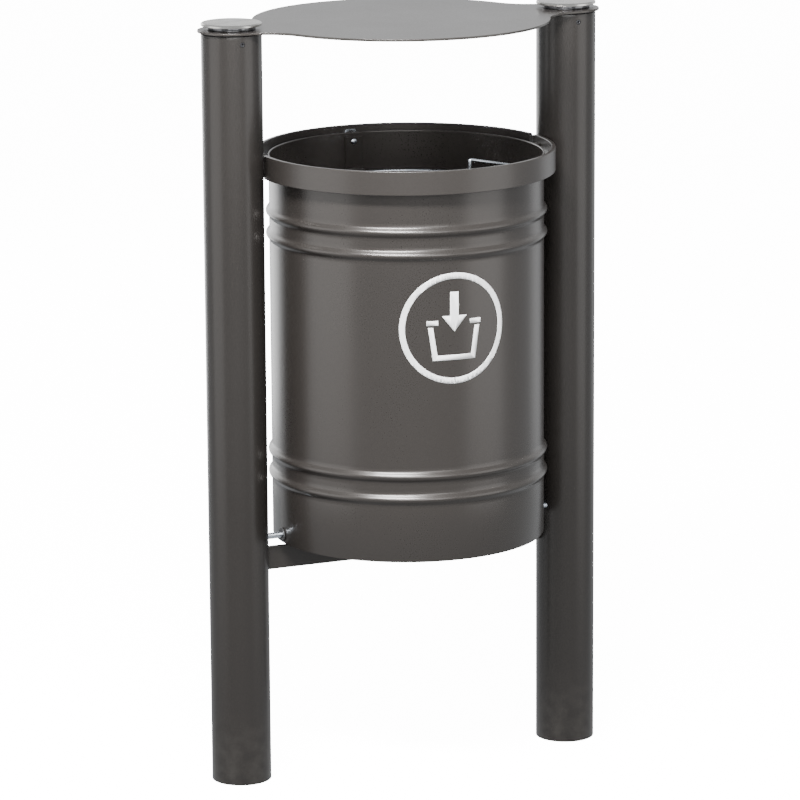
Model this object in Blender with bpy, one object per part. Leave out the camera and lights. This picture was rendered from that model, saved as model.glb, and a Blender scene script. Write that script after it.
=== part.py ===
"""Street litter bin: a round bin that tips forward between two posts, under a flat roof plate.

Frame: +X runs from the left post to the right post, -Y is the front, +Z is up, and the origin is on the
ground at the middle of the whole object's box. Units are metres.
"""

import math

import bmesh
import bpy
from mathutils import Matrix, Vector

# ---------------------------------------------------------------- driving dimensions

GAP = 0.0003                      # clearance between pieces that touch
CUT_MARGIN = 0.002                # how far a cutter runs past the faces that it cuts

POST_X = 0.229                    # half the distance between the post centres
POST_RADIUS = 0.038               # 76 mm tube
POST_WALL = 0.003
POST_TOP = 0.962

HOOP_OUTER = 0.189                # flat bar, 30 x 5 mm, rolled round the mouth
HOOP_THICKNESS = 0.005
HOOP_HEIGHT = 0.030
HOOP_ABOVE_RIM = 0.0075

BODY_RADIUS = 0.174
BODY_WALL = 0.0015
BODY_BOTTOM = 0.308
BODY_HEIGHT = 0.490
HEM_STEP = 0.0012
HEM_HEIGHT = 0.008
RIB_HEIGHT = 0.0042
RIB_HALF_BASE = 0.0075
RIB_HALF_CROWN = 0.003
RIBS_BELOW_RIM = (0.0715, 0.1005)
RIBS_ABOVE_BOTTOM = (0.0805, 0.1095)

ROOF_RADIUS = 0.188
ROOF_EYE_RADIUS = 0.0425
ROOF_FILLET = 0.060
ROOF_THICKNESS = 0.003

BIN_AHEAD_OF_POSTS = 0.0135       # the bin's axis stands this far in front of the posts' plane
PIVOT_ABOVE_BOTTOM = 0.0105
CROSSBAR_BELOW_BOTTOM = 0.0065
CROSSBAR_HEIGHT = 0.030
CROSSBAR_THICKNESS = 0.006

RING_RADIUS = 0.165               # bag ring, centre line of the wire
RING_WIRE = 0.002
RING_BELOW_RIM = 0.052
RING_HINGE_HALF = 0.025           # half length of the straight stretch in the clip

# ---------------------------------------------------------------- derived places

# The roof's back edge and the front hoop's front edge are equally far from the origin.
BIN_Y = -(ROOF_RADIUS + BIN_AHEAD_OF_POSTS - HOOP_OUTER) / 2
POST_Y = BIN_Y + BIN_AHEAD_OF_POSTS
POST_INNER = POST_RADIUS - POST_WALL
RIM_Z = BODY_BOTTOM + BODY_HEIGHT
HOOP_TOP = RIM_Z + HOOP_ABOVE_RIM
HOOP_BOTTOM = HOOP_TOP - HOOP_HEIGHT
HOOP_MIDDLE = (HOOP_TOP + HOOP_BOTTOM) / 2
HOOP_INNER = HOOP_OUTER - HOOP_THICKNESS
BODY_INNER = BODY_RADIUS - BODY_WALL
HEM_RADIUS = BODY_RADIUS + HEM_STEP
PIVOT_Z = BODY_BOTTOM + PIVOT_ABOVE_BOTTOM
RING_Z = RIM_Z - RING_BELOW_RIM
RING_HINGE_Y = BIN_Y + math.sqrt(RING_RADIUS ** 2 - RING_HINGE_HALF ** 2)

BODY_SEGMENTS = 48
POST_SEGMENTS = 32
SMALL_SEGMENTS = 24

SIDES = (("left", -1), ("right", 1))


# ---------------------------------------------------------------- helpers

def clear_scene():
    for obj in list(bpy.data.objects):
        bpy.data.objects.remove(obj, do_unlink=True)


def material(name, colour, roughness, metallic):
    mat = bpy.data.materials.new(name)
    mat.use_nodes = True
    shader = mat.node_tree.nodes["Principled BSDF"]
    shader.inputs["Base Color"].default_value = (*colour, 1.0)
    shader.inputs["Roughness"].default_value = roughness
    shader.inputs["Metallic"].default_value = metallic
    mat.diffuse_color = (*colour, 1.0)
    return mat


def pivot_empty(name, place):
    """An empty on a joint's axis; the moving pieces are its children."""
    empty = bpy.data.objects.new(name, None)
    empty.location = place
    bpy.context.scene.collection.objects.link(empty)
    return empty


def add_object(name, bm, mat, parent=None, origin=(0.0, 0.0, 0.0)):
    """Turns a bmesh in world coordinates into an object with its origin at its parent or at the given point."""
    origin = Vector(parent.location) if parent else Vector(origin)
    bmesh.ops.translate(bm, verts=bm.verts, vec=-origin)
    bmesh.ops.recalc_face_normals(bm, faces=bm.faces)
    mesh = bpy.data.meshes.new(name)
    bm.to_mesh(mesh)
    bm.free()
    obj = bpy.data.objects.new(name, mesh)
    bpy.context.scene.collection.objects.link(obj)
    if parent:
        obj.parent = parent
    else:
        obj.location = origin
    if mat:
        mesh.materials.append(mat)
        mesh.shade_smooth()
        mesh.set_sharp_from_angle(angle=math.radians(35))
    return obj


def cut(obj, name, bm):
    """Cuts the solid in bm, given in world coordinates, out of obj."""
    cutter = add_object(name, bm, None)
    cutter.hide_render = True
    cutter.display_type = "WIRE"
    modifier = obj.modifiers.new(name, "BOOLEAN")
    modifier.operation = "DIFFERENCE"
    modifier.solver = "EXACT"
    modifier.object = cutter


def turned(profile, segments, matrix=None):
    """A solid of revolution about Z from a closed profile of (radius, height) points."""
    bm = bmesh.new()
    rings = []
    for radius, height in profile:
        if radius == 0.0:
            rings.append([bm.verts.new((0.0, 0.0, height))])
            continue
        ring = []
        for i in range(segments):
            angle = 2 * math.pi * i / segments
            ring.append(bm.verts.new((radius * math.cos(angle), radius * math.sin(angle), height)))
        rings.append(ring)
    for a, b in zip(rings, rings[1:] + rings[:1]):
        for i in range(segments):
            j = (i + 1) % segments
            corners = [a[i % len(a)], a[j % len(a)], b[j % len(b)], b[i % len(b)]]
            unique = list(dict.fromkeys(corners))
            if len(unique) > 2:
                bm.faces.new(unique)
    if matrix:
        bmesh.ops.transform(bm, matrix=matrix, verts=bm.verts)
    return bm


def along(place, direction):
    """Matrix that carries +Z to the given direction and the origin to the given place."""
    turn = Vector((0, 0, 1)).rotation_difference(Vector(direction)).to_matrix().to_4x4()
    return Matrix.Translation(place) @ turn


def rod(radius, start, end, segments=SMALL_SEGMENTS):
    """A plain round bar from start to end."""
    start = Vector(start)
    run = Vector(end) - start
    profile = [(0.0, 0.0), (radius, 0.0), (radius, run.length), (0.0, run.length)]
    return turned(profile, segments, along(start, run.normalized()))


def box(low, high):
    bm = bmesh.new()
    bmesh.ops.create_cube(bm, size=1.0)
    low = Vector(low)
    high = Vector(high)
    bmesh.ops.scale(bm, vec=high - low, verts=bm.verts)
    bmesh.ops.translate(bm, vec=(low + high) / 2, verts=bm.verts)
    return bm


def prism(outline, depth, matrix=None):
    """Extrudes a closed outline of (x, y) points along +Z by depth."""
    bm = bmesh.new()
    base = bm.faces.new([bm.verts.new((x, y, 0.0)) for x, y in outline])
    grown = bmesh.ops.extrude_face_region(bm, geom=[base])
    top = [item for item in grown["geom"] if isinstance(item, bmesh.types.BMVert)]
    bmesh.ops.translate(bm, vec=(0, 0, depth), verts=top)
    if matrix:
        bmesh.ops.transform(bm, matrix=matrix, verts=bm.verts)
    return bm


def arc(centre, radius, start, end, steps):
    """Points on an arc in a plane, angles in degrees, both ends included."""
    points = []
    for i in range(steps + 1):
        angle = math.radians(start + (end - start) * i / steps)
        points.append((centre[0] + radius * math.cos(angle), centre[1] + radius * math.sin(angle)))
    return points


def around_bin(radius, azimuth, height):
    """A point at an azimuth round the bin's axis: 0 is the front, 90 is the right."""
    angle = math.radians(azimuth)
    return Vector((radius * math.sin(angle), BIN_Y - radius * math.cos(angle), height))


def hoop_sector(start, end, steps):
    """A stretch of the rolled flat bar between two azimuths."""
    bm = bmesh.new()
    corners = ((HOOP_OUTER, HOOP_BOTTOM), (HOOP_OUTER, HOOP_TOP),
               (HOOP_INNER, HOOP_TOP), (HOOP_INNER, HOOP_BOTTOM))
    sections = []
    for i in range(steps + 1):
        azimuth = start + (end - start) * i / steps
        sections.append([bm.verts.new(around_bin(r, azimuth, z)) for r, z in corners])
    for a, b in zip(sections, sections[1:]):
        for k in range(4):
            n = (k + 1) % 4
            bm.faces.new((a[k], a[n], b[n], b[k]))
    bm.faces.new(sections[0])
    bm.faces.new(sections[-1])
    return bm


def hexagon(across_flats):
    return arc((0, 0), across_flats / math.sqrt(3), 0, 300, 5)


# ---------------------------------------------------------------- materials

def make_materials():
    return {
        "paint": material("dark_grey_paint", (0.085, 0.080, 0.078), 0.42, 0.35),
        "stainless": material("stainless", (0.62, 0.60, 0.57), 0.25, 1.0),
        "zinc": material("zinc_plate", (0.60, 0.62, 0.66), 0.3, 1.0),
        "rubber": material("rubber", (0.03, 0.03, 0.03), 0.8, 0.0),
        "nylon": material("nylon", (0.05, 0.05, 0.05), 0.55, 0.0),
    }


# ---------------------------------------------------------------- posts, roof and caps

GASKET_THICKNESS = 0.0012
SPACER_HEIGHT = 0.0045
SPACER_RADIUS = 0.0305
CAP_HEIGHT = 0.004
CAP_CHAMFER = 0.001
STUD_RADIUS = 0.005
PLUG_HEIGHT = 0.020
STUD_END = POST_TOP - PLUG_HEIGHT + 0.002
GASKET_RADIUS = POST_RADIUS - 0.001
GRUB_RADIUS = 0.003
GRUB_LENGTH = 0.010
GRUB_RECESS = 0.0006
GRUB_SOCKET_ACROSS = 0.003
GRUB_SOCKET_DEPTH = 0.003
GRUB_Z = POST_TOP - 0.010
ROOF_Z = POST_TOP + GASKET_THICKNESS + 2 * GAP
PIVOT_BOLT_RADIUS = 0.004
PIVOT_HOLE_DEPTH = 0.012          # off the post's middle, so deeper than its wall


def make_posts(mats):
    profile = [(POST_INNER, 0.0), (POST_RADIUS, 0.0), (POST_RADIUS, POST_TOP), (POST_INNER, POST_TOP)]
    for side, sign in SIDES:
        place = Vector((sign * POST_X, POST_Y, 0.0))
        post = add_object(f"{side}_post", turned(profile, POST_SEGMENTS, Matrix.Translation(place)),
                          mats["paint"], origin=place)
        front = place + Vector((0, -POST_RADIUS, GRUB_Z))
        cut(post, f"{side}_grub_hole", rod(GRUB_RADIUS + GAP, front - Vector((0, CUT_MARGIN, 0)),
                                           front + Vector((0, POST_WALL + CUT_MARGIN, 0)), 16))
        inward = Vector((sign * (POST_X - POST_RADIUS), BIN_Y, PIVOT_Z))
        inner_end = inward + Vector((sign * PIVOT_HOLE_DEPTH, 0, 0))
        outer_end = inward - Vector((sign * CUT_MARGIN, 0, 0))
        cut(post, f"{side}_pivot_hole", rod(PIVOT_BOLT_RADIUS + GAP, outer_end, inner_end, 16))


def make_post_tops(mats):
    """Plug, grub screw, gasket, spacer and cap on each post."""
    bore = STUD_RADIUS + GAP
    for side, sign in SIDES:
        centre = Vector((sign * POST_X, POST_Y, 0.0))

        def stacked(name, profile, mat):
            solid = turned(profile, POST_SEGMENTS, Matrix.Translation(centre))
            return add_object(f"{side}_{name}", solid, mat, origin=centre)

        plug_radius = POST_INNER - GAP
        plug_base = POST_TOP - PLUG_HEIGHT
        plug = stacked("post_plug", [(bore, plug_base), (plug_radius, plug_base), (plug_radius, POST_TOP),
                                     (bore, POST_TOP)], mats["nylon"])
        outside = centre + Vector((0, -POST_RADIUS, GRUB_Z))
        cut(plug, f"{side}_plug_thread", rod(GRUB_RADIUS + GAP, outside,
                                             outside + Vector((0, GRUB_LENGTH + CUT_MARGIN, 0)), 16))
        start = outside + Vector((0, GRUB_RECESS, 0))
        end = start + Vector((0, GRUB_LENGTH, 0))
        grub = add_object(f"{side}_grub_screw", rod(GRUB_RADIUS, start, end, 16), mats["zinc"], origin=start)
        socket = prism(hexagon(GRUB_SOCKET_ACROSS), GRUB_SOCKET_DEPTH + CUT_MARGIN,
                       along(start - Vector((0, CUT_MARGIN, 0)), (0, 1, 0)))
        cut(grub, f"{side}_grub_socket", socket)

        gasket_z = POST_TOP + GAP
        stacked("roof_gasket", [(bore, gasket_z), (GASKET_RADIUS, gasket_z),
                                (GASKET_RADIUS, gasket_z + GASKET_THICKNESS),
                                (bore, gasket_z + GASKET_THICKNESS)], mats["rubber"])
        spacer_z = ROOF_Z + ROOF_THICKNESS + GAP
        stacked("cap_spacer", [(bore, spacer_z), (SPACER_RADIUS, spacer_z),
                               (SPACER_RADIUS, spacer_z + SPACER_HEIGHT),
                               (bore, spacer_z + SPACER_HEIGHT)], mats["stainless"])
        cap_z = spacer_z + SPACER_HEIGHT + GAP
        cap_top = cap_z + CAP_HEIGHT
        stacked("cap", [(0.0, STUD_END), (STUD_RADIUS, STUD_END), (STUD_RADIUS, cap_z),
                        (POST_RADIUS - CAP_CHAMFER, cap_z), (POST_RADIUS, cap_z + CAP_CHAMFER),
                        (POST_RADIUS, cap_top - CAP_CHAMFER), (POST_RADIUS - CAP_CHAMFER, cap_top),
                        (0.0, cap_top)], mats["stainless"])


def roof_outline():
    """A disc over the bin that flares into a round eye over each post, joined by hollow fillets."""
    to_disc = ROOF_RADIUS + ROOF_FILLET
    to_eye = ROOF_EYE_RADIUS + ROOF_FILLET
    fillet_x = (to_disc ** 2 - to_eye ** 2 + POST_X ** 2) / (2 * POST_X)
    fillet_y = math.sqrt(to_disc ** 2 - fillet_x ** 2)
    disc_angle = math.degrees(math.atan2(fillet_y, fillet_x))
    eye_angle = math.degrees(math.atan2(fillet_y, fillet_x - POST_X))
    quarter = arc((0, 0), ROOF_RADIUS, 90, disc_angle, 12)
    quarter += arc((fillet_x, fillet_y), ROOF_FILLET, disc_angle - 180, eye_angle - 180, 8)[1:]
    quarter += arc((POST_X, 0), ROOF_EYE_RADIUS, eye_angle, 0, 8)[1:]
    right_half = quarter + [(x, -y) for x, y in reversed(quarter[:-1])]
    return right_half + [(-x, y) for x, y in reversed(right_half[1:-1])]


def make_roof(mats):
    place = Vector((0.0, POST_Y, ROOF_Z))
    roof = add_object("roof_plate", prism(roof_outline(), ROOF_THICKNESS, Matrix.Translation(place)),
                      mats["paint"], origin=place)
    for side, sign in SIDES:
        hole = Vector((sign * POST_X, POST_Y, ROOF_Z - GAP))
        cut(roof, f"{side}_roof_hole", rod(STUD_RADIUS + GAP, hole,
                                           hole + Vector((0, 0, ROOF_THICKNESS + 2 * GAP)), 16))


COPE_REACH = 0.004                # how far a bar runs into the post's outline before its end is coped


def cope(obj, name, sign, low, height):
    """Hollows a bar's end to fit round the post."""
    base = Vector((sign * POST_X, POST_Y, low - CUT_MARGIN))
    run = Vector((0, 0, height + 2 * CUT_MARGIN))
    cut(obj, name, rod(POST_RADIUS + GAP, base, base + run, POST_SEGMENTS))


def make_crossbar(mats):
    """Flat bar on edge, its ends coped to the posts."""
    top = BODY_BOTTOM - CROSSBAR_BELOW_BOTTOM
    half = CROSSBAR_THICKNESS / 2
    reach = POST_X - POST_RADIUS + COPE_REACH
    flat = box((-reach, POST_Y - half, top - CROSSBAR_HEIGHT), (reach, POST_Y + half, top))
    bar = add_object("crossbar", flat, mats["paint"], origin=(0, POST_Y, top))
    for side, sign in SIDES:
        cope(bar, f"{side}_crossbar_cope", sign, top - CROSSBAR_HEIGHT, CROSSBAR_HEIGHT)


# ---------------------------------------------------------------- hoop

STOP_PAD = 0.001
PAD_MARGIN = 0.004                # the pad is this much lower than the bracket, above and below
BRACKET_THICKNESS = 0.008
BRACKET_HEIGHT = 0.026
BRACKET_PAST_HOOP = 0.0015        # the bracket and the pad reach this far inside the hoop
HOOP_TAB_AZIMUTHS = (("left", -90), ("front_left", -35), ("front_right", 35), ("right", 90))
HOOP_TAB_HALF_WIDTH = 0.007
HOOP_TAB_THICKNESS = 0.003
HOOP_TAB_BELOW_RIM = 0.0015
HOOP_TAB_FROM_HEM = 0.0004
HOOP_TAB_FROM_HOOP = 0.0008       # its flat end stays clear of the curved bar


def azimuth_at(radius, behind_axis):
    """Azimuth on the right where a circle round the bin is that far behind the bin's axis."""
    return 90 + math.degrees(math.asin(behind_axis / radius))


PAD_FRONT = BIN_AHEAD_OF_POSTS + GAP          # measured behind the bin's axis, as are the next two
BRACKET_FRONT = PAD_FRONT + STOP_PAD + GAP
BRACKET_BACK = BRACKET_FRONT + BRACKET_THICKNESS
FRONT_HOOP_END = azimuth_at(HOOP_OUTER, PAD_FRONT - 2 * GAP)
REAR_HOOP_END = azimuth_at(HOOP_INNER, BRACKET_BACK + 2 * GAP)
LOCK_RADIUS = 0.008


def make_hoop(mats, bin_pivot):
    add_object("front_hoop", hoop_sector(-FRONT_HOOP_END, FRONT_HOOP_END, 26), mats["paint"], bin_pivot)
    rear = add_object("rear_hoop", hoop_sector(REAR_HOOP_END, 360 - REAR_HOOP_END, 22), mats["paint"],
                      origin=(0, BIN_Y, HOOP_BOTTOM))
    back = around_bin(HOOP_INNER - CUT_MARGIN, 180, HOOP_MIDDLE)
    cut(rear, "lock_hole", rod(LOCK_RADIUS + GAP, back,
                               back + Vector((0, HOOP_THICKNESS + 2 * CUT_MARGIN, 0))))

    for side, sign in SIDES:
        inner_x = HOOP_INNER - BRACKET_PAST_HOOP
        outer_x = POST_X - POST_RADIUS + COPE_REACH
        low_z = HOOP_MIDDLE - BRACKET_HEIGHT / 2
        xs = sorted((sign * inner_x, sign * outer_x))
        bracket = add_object(f"{side}_hoop_bracket",
                             box((xs[0], BIN_Y + BRACKET_FRONT, low_z),
                                 (xs[1], BIN_Y + BRACKET_BACK, low_z + BRACKET_HEIGHT)),
                             mats["paint"], origin=(sign * outer_x, POST_Y, HOOP_MIDDLE))
        cope(bracket, f"{side}_bracket_cope", sign, low_z, BRACKET_HEIGHT)
        xs = sorted((sign * inner_x, sign * (HOOP_OUTER - 0.001)))
        pad = box((xs[0], BIN_Y + PAD_FRONT, low_z + PAD_MARGIN),
                  (xs[1], BIN_Y + PAD_FRONT + STOP_PAD, low_z + BRACKET_HEIGHT - PAD_MARGIN))
        add_object(f"{side}_stop_pad", pad, mats["rubber"], origin=(sign * inner_x, POST_Y, HOOP_MIDDLE))

    top = RIM_Z - HOOP_TAB_BELOW_RIM
    for label, azimuth in HOOP_TAB_AZIMUTHS:
        tab = box((HEM_RADIUS + HOOP_TAB_FROM_HEM, -HOOP_TAB_HALF_WIDTH, top - HOOP_TAB_THICKNESS),
                  (HOOP_INNER - HOOP_TAB_FROM_HOOP, HOOP_TAB_HALF_WIDTH, top))
        turn = Matrix.Translation((0, BIN_Y, 0)) @ Matrix.Rotation(math.radians(azimuth - 90), 4, "Z")
        bmesh.ops.transform(tab, matrix=turn, verts=tab.verts)
        add_object(f"{label}_hoop_tab", tab, mats["paint"], bin_pivot)


# ---------------------------------------------------------------- bin

FLOOR_THICKNESS = 0.0015
FLOOR_ABOVE_BOTTOM = 0.0235
FLOOR_FLANGE = 0.014
FLOOR_BEND = 0.003                # slant at the foot of the flange, outside
FLOOR_BEND_INSIDE = 0.0025
DRAIN_RADIUS = 0.005
DRAIN_CIRCLE = 0.090
BUSH_RADIUS = 0.006
RIVET_RADIUS = 0.0019
CLIP_RIVET_Z = RIM_Z - 0.012


def body_profile():
    """Outer wall from the bottom up, then the same wall back down on the inside."""
    outer = [(BODY_RADIUS, BODY_BOTTOM)]
    rib_heights = [BODY_BOTTOM + h for h in RIBS_ABOVE_BOTTOM] + [RIM_Z - h for h in reversed(RIBS_BELOW_RIM)]
    for height in rib_heights:
        outer.append((BODY_RADIUS, height - RIB_HALF_BASE))
        outer.append((BODY_RADIUS + RIB_HEIGHT, height - RIB_HALF_CROWN))
        outer.append((BODY_RADIUS + RIB_HEIGHT, height + RIB_HALF_CROWN))
        outer.append((BODY_RADIUS, height + RIB_HALF_BASE))
    inner = [(radius - BODY_WALL, height) for radius, height in reversed(outer)]
    hem = [(BODY_RADIUS, RIM_Z - HEM_HEIGHT - 0.0005), (HEM_RADIUS, RIM_Z - HEM_HEIGHT), (HEM_RADIUS, RIM_Z),
           (BODY_INNER, RIM_Z)]
    return outer + hem + inner


def make_body(mats, bin_pivot):
    shell = turned(body_profile(), BODY_SEGMENTS, Matrix.Translation((0, BIN_Y, 0)))
    body = add_object("bin_body", shell, mats["paint"], bin_pivot)
    for side, sign in SIDES:
        inside = Vector((sign * (BODY_INNER - CUT_MARGIN), BIN_Y, PIVOT_Z))
        run = Vector((sign * (BODY_WALL + 2 * CUT_MARGIN), 0, 0))
        cut(body, f"{side}_bush_hole", rod(BUSH_RADIUS + GAP, inside, inside + run))
    back = Vector((0, BIN_Y + BODY_INNER - CUT_MARGIN, CLIP_RIVET_Z))
    run = Vector((0, BODY_WALL + 2 * CUT_MARGIN, 0))
    cut(body, "clip_rivet_hole", rod(RIVET_RADIUS + GAP, back, back + run, 12))


def make_floor(mats, bin_pivot):
    """A pressed pan with its flange up against the wall, one drain hole in the middle and four round it."""
    edge = BODY_INNER - GAP
    low = BODY_BOTTOM + FLOOR_ABOVE_BOTTOM
    high = low + FLOOR_THICKNESS
    wall = edge - FLOOR_THICKNESS
    profile = [(DRAIN_RADIUS, low), (edge - FLOOR_BEND, low), (edge, low + FLOOR_BEND),
               (edge, low + FLOOR_FLANGE), (wall, low + FLOOR_FLANGE), (wall, high + FLOOR_BEND_INSIDE),
               (wall - FLOOR_BEND_INSIDE, high), (DRAIN_RADIUS, high)]
    floor = add_object("bin_floor", turned(profile, BODY_SEGMENTS, Matrix.Translation((0, BIN_Y, 0))),
                       mats["paint"], bin_pivot)
    for quarter in range(4):
        hole = around_bin(DRAIN_CIRCLE, 90 * quarter + 45, low - CUT_MARGIN)
        run = Vector((0, 0, FLOOR_THICKNESS + 2 * CUT_MARGIN))
        cut(floor, f"drain_hole_{quarter + 1}", rod(DRAIN_RADIUS, hole, hole + run, 12))


# ---------------------------------------------------------------- pivots

HEAD_ACROSS = 0.013
HEAD_HEIGHT = 0.0053
WASHER_RADIUS = 0.008
WASHER_THICKNESS = 0.0016
BUSH_FLANGE_RADIUS = 0.009
BUSH_FLANGE = 0.0015
RUNNING_GAP = 0.00015
WELD_NUT_RADIUS = 0.007
WELD_NUT_HEIGHT = 0.0065
BOLT_PAST_NUT = 0.001
BUSH_PAST_WALL = 0.0015


def make_pivots(mats, bin_pivot):
    """Bolt through the bin's wall into a weld nut inside the post; the bushes turn with the bin."""
    bush_in = BODY_INNER - BUSH_PAST_WALL
    bush_out = BODY_RADIUS + GAP + BUSH_FLANGE
    washer_out = bush_in - GAP
    washer_in = washer_out - WASHER_THICKNESS
    head_out = washer_in - GAP
    head_in = head_out - HEAD_HEIGHT
    nut_depth = math.sqrt(POST_INNER ** 2 - (BIN_AHEAD_OF_POSTS + WELD_NUT_RADIUS) ** 2)
    nut_in = POST_X - nut_depth + 2 * GAP
    bolt_end = nut_in + WELD_NUT_HEIGHT + BOLT_PAST_NUT
    for side, sign in SIDES:
        base = along((0.0, BIN_Y, PIVOT_Z), (sign, 0, 0))
        axis_point = (sign * BODY_RADIUS, BIN_Y, PIVOT_Z)

        bolt = rod(PIVOT_BOLT_RADIUS, (sign * head_in, BIN_Y, PIVOT_Z), (sign * bolt_end, BIN_Y, PIVOT_Z))
        bolt_object = add_object(f"{side}_pivot_bolt", bolt, mats["zinc"], origin=axis_point)
        head = prism(hexagon(HEAD_ACROSS), HEAD_HEIGHT, base @ Matrix.Translation((0, 0, head_in)))
        head_object = add_object(f"{side}_bolt_head_form", head, None)
        head_object.hide_render = True
        head_object.display_type = "WIRE"
        join = bolt_object.modifiers.new("head", "BOOLEAN")
        join.operation = "UNION"
        join.solver = "EXACT"
        join.object = head_object

        hole = PIVOT_BOLT_RADIUS + RUNNING_GAP
        washer = [(hole, washer_in), (WASHER_RADIUS, washer_in),
                  (WASHER_RADIUS, washer_out), (hole, washer_out)]
        add_object(f"{side}_pivot_washer", turned(washer, SMALL_SEGMENTS, base), mats["zinc"],
                   origin=axis_point)
        flange_in = BODY_RADIUS + GAP
        bush = [(hole, bush_in), (BUSH_RADIUS, bush_in), (BUSH_RADIUS, flange_in),
                (BUSH_FLANGE_RADIUS, flange_in), (BUSH_FLANGE_RADIUS, bush_out), (hole, bush_out)]
        add_object(f"{side}_pivot_bush", turned(bush, SMALL_SEGMENTS, base), mats["nylon"], bin_pivot)
        thread = PIVOT_BOLT_RADIUS + GAP
        nut = [(thread, nut_in), (WELD_NUT_RADIUS, nut_in), (WELD_NUT_RADIUS, nut_in + WELD_NUT_HEIGHT),
               (thread, nut_in + WELD_NUT_HEIGHT)]
        add_object(f"{side}_weld_nut", turned(nut, SMALL_SEGMENTS, base), mats["zinc"], origin=axis_point)


# ---------------------------------------------------------------- lock

LOCK_FLANGE_RADIUS = 0.012
LOCK_FLANGE = 0.0025
LOCK_CHAMFER = 0.0008
LOCK_BORE = 0.0052
BARREL_FROM_CAM = 0.0019
PLUG_RECESS = 0.0005              # the plug's face lies this far inside the housing's
KEY_DEPTH = 0.006
DRIVE_PAST_CAM = 0.0006
LOCK_NUT_ACROSS = 0.020
LOCK_NUT_HEIGHT = 0.0024
KEY_ACROSS = 0.0062
CAM_THICKNESS = 0.002
CAM_LENGTH = 0.022
CAM_HALF_WIDTH = 0.005
CAM_DEPTH = 0.1766                # cam's inner face behind the bin's axis
DRIVE_RADIUS = 0.003
STRIKER_HALF_HEIGHT = 0.006
STRIKER_SHEET = 0.0015
STRIKER_FLANGE_RADIUS = 0.1809
STRIKER_AZIMUTHS = (184.4, 189.8, 194.0)      # end of the hook, step, end of the foot
STRIKER_STEP = 0.5                # width of the step, in degrees


def make_lock(mats, lock_pivot, bin_pivot):
    """Quarter-turn key lock on the rear hoop; its cam hangs down at rest and turns behind the striker."""
    base = along((0.0, BIN_Y, HOOP_MIDDLE), (0, 1, 0))
    flange_in = HOOP_OUTER + GAP
    flange_out = flange_in + LOCK_FLANGE
    barrel_in = CAM_DEPTH + CAM_THICKNESS + BARREL_FROM_CAM
    housing = [(LOCK_BORE, barrel_in), (LOCK_RADIUS, barrel_in), (LOCK_RADIUS, flange_in),
               (LOCK_FLANGE_RADIUS, flange_in), (LOCK_FLANGE_RADIUS, flange_out - LOCK_CHAMFER),
               (LOCK_FLANGE_RADIUS - LOCK_CHAMFER, flange_out), (LOCK_BORE, flange_out)]
    add_object("lock_housing", turned(housing, SMALL_SEGMENTS, base), mats["stainless"],
               origin=(0, BIN_Y + HOOP_OUTER, HOOP_MIDDLE))

    nut_in = barrel_in + GAP
    nut = prism(hexagon(LOCK_NUT_ACROSS), LOCK_NUT_HEIGHT, base @ Matrix.Translation((0, 0, nut_in)))
    nut_object = add_object("lock_nut", nut, mats["zinc"], origin=(0, BIN_Y + nut_in, HOOP_MIDDLE))
    start = Vector((0, BIN_Y + nut_in - CUT_MARGIN, HOOP_MIDDLE))
    run = Vector((0, LOCK_NUT_HEIGHT + 2 * CUT_MARGIN, 0))
    cut(nut_object, "lock_nut_bore", rod(LOCK_RADIUS + GAP, start, start + run))

    plug_radius = LOCK_BORE - GAP
    shoulder = CAM_DEPTH + CAM_THICKNESS + GAP
    face = flange_out - PLUG_RECESS
    drive_in = CAM_DEPTH - DRIVE_PAST_CAM
    plug = [(0.0, drive_in), (DRIVE_RADIUS, drive_in), (DRIVE_RADIUS, shoulder), (plug_radius, shoulder),
            (plug_radius, face), (0.0, face)]
    plug_object = add_object("lock_plug", turned(plug, SMALL_SEGMENTS, base), mats["stainless"], lock_pivot)
    key_radius = KEY_ACROSS / math.sqrt(3)
    triangle = [(key_radius * math.sin(math.radians(a)), key_radius * math.cos(math.radians(a)))
                for a in (0, 120, 240)]
    recess = prism(triangle, KEY_DEPTH + CUT_MARGIN, base @ Matrix.Translation((0, 0, face - KEY_DEPTH)))
    cut(plug_object, "key_recess", recess)

    tail = arc((0, 0), CAM_HALF_WIDTH, 0, 180, 8)
    outline = tail + [(-CAM_HALF_WIDTH, -CAM_LENGTH), (CAM_HALF_WIDTH, -CAM_LENGTH)]
    stand = Matrix.Translation((0, BIN_Y + CAM_DEPTH + CAM_THICKNESS, HOOP_MIDDLE))
    cam = prism(outline, CAM_THICKNESS, stand @ Matrix.Rotation(math.radians(90), 4, "X"))
    cam_object = add_object("lock_cam", cam, mats["zinc"], lock_pivot)
    start = Vector((0, BIN_Y + CAM_DEPTH - CUT_MARGIN, HOOP_MIDDLE))
    run = Vector((0, CAM_THICKNESS + 2 * CUT_MARGIN, 0))
    cut(cam_object, "cam_bore", rod(DRIVE_RADIUS + GAP, start, start + run, 16))
    make_striker(mats, bin_pivot)


def make_striker(mats, bin_pivot):
    """Stepped strip on the back of the rim; its outer flange stands behind the turned cam."""
    foot = HEM_RADIUS + GAP
    flange = STRIKER_FLANGE_RADIUS
    hook_end, web, foot_end = STRIKER_AZIMUTHS
    web_inner = web - STRIKER_STEP

    def run(radius, start, end, steps):
        return [around_bin(radius, start + (end - start) * i / steps, 0.0)[:2] for i in range(steps + 1)]

    outline = run(foot, web_inner, foot_end, 3) + run(foot + STRIKER_SHEET, foot_end, web, 3)
    outline += run(flange + STRIKER_SHEET, web, hook_end, 4) + run(flange, hook_end, web_inner, 4)
    low = HOOP_MIDDLE - STRIKER_HALF_HEIGHT
    strip = prism(outline, 2 * STRIKER_HALF_HEIGHT, Matrix.Translation((0, 0, low)))
    add_object("lock_striker", strip, mats["zinc"], bin_pivot)


# ---------------------------------------------------------------- bag ring

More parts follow.
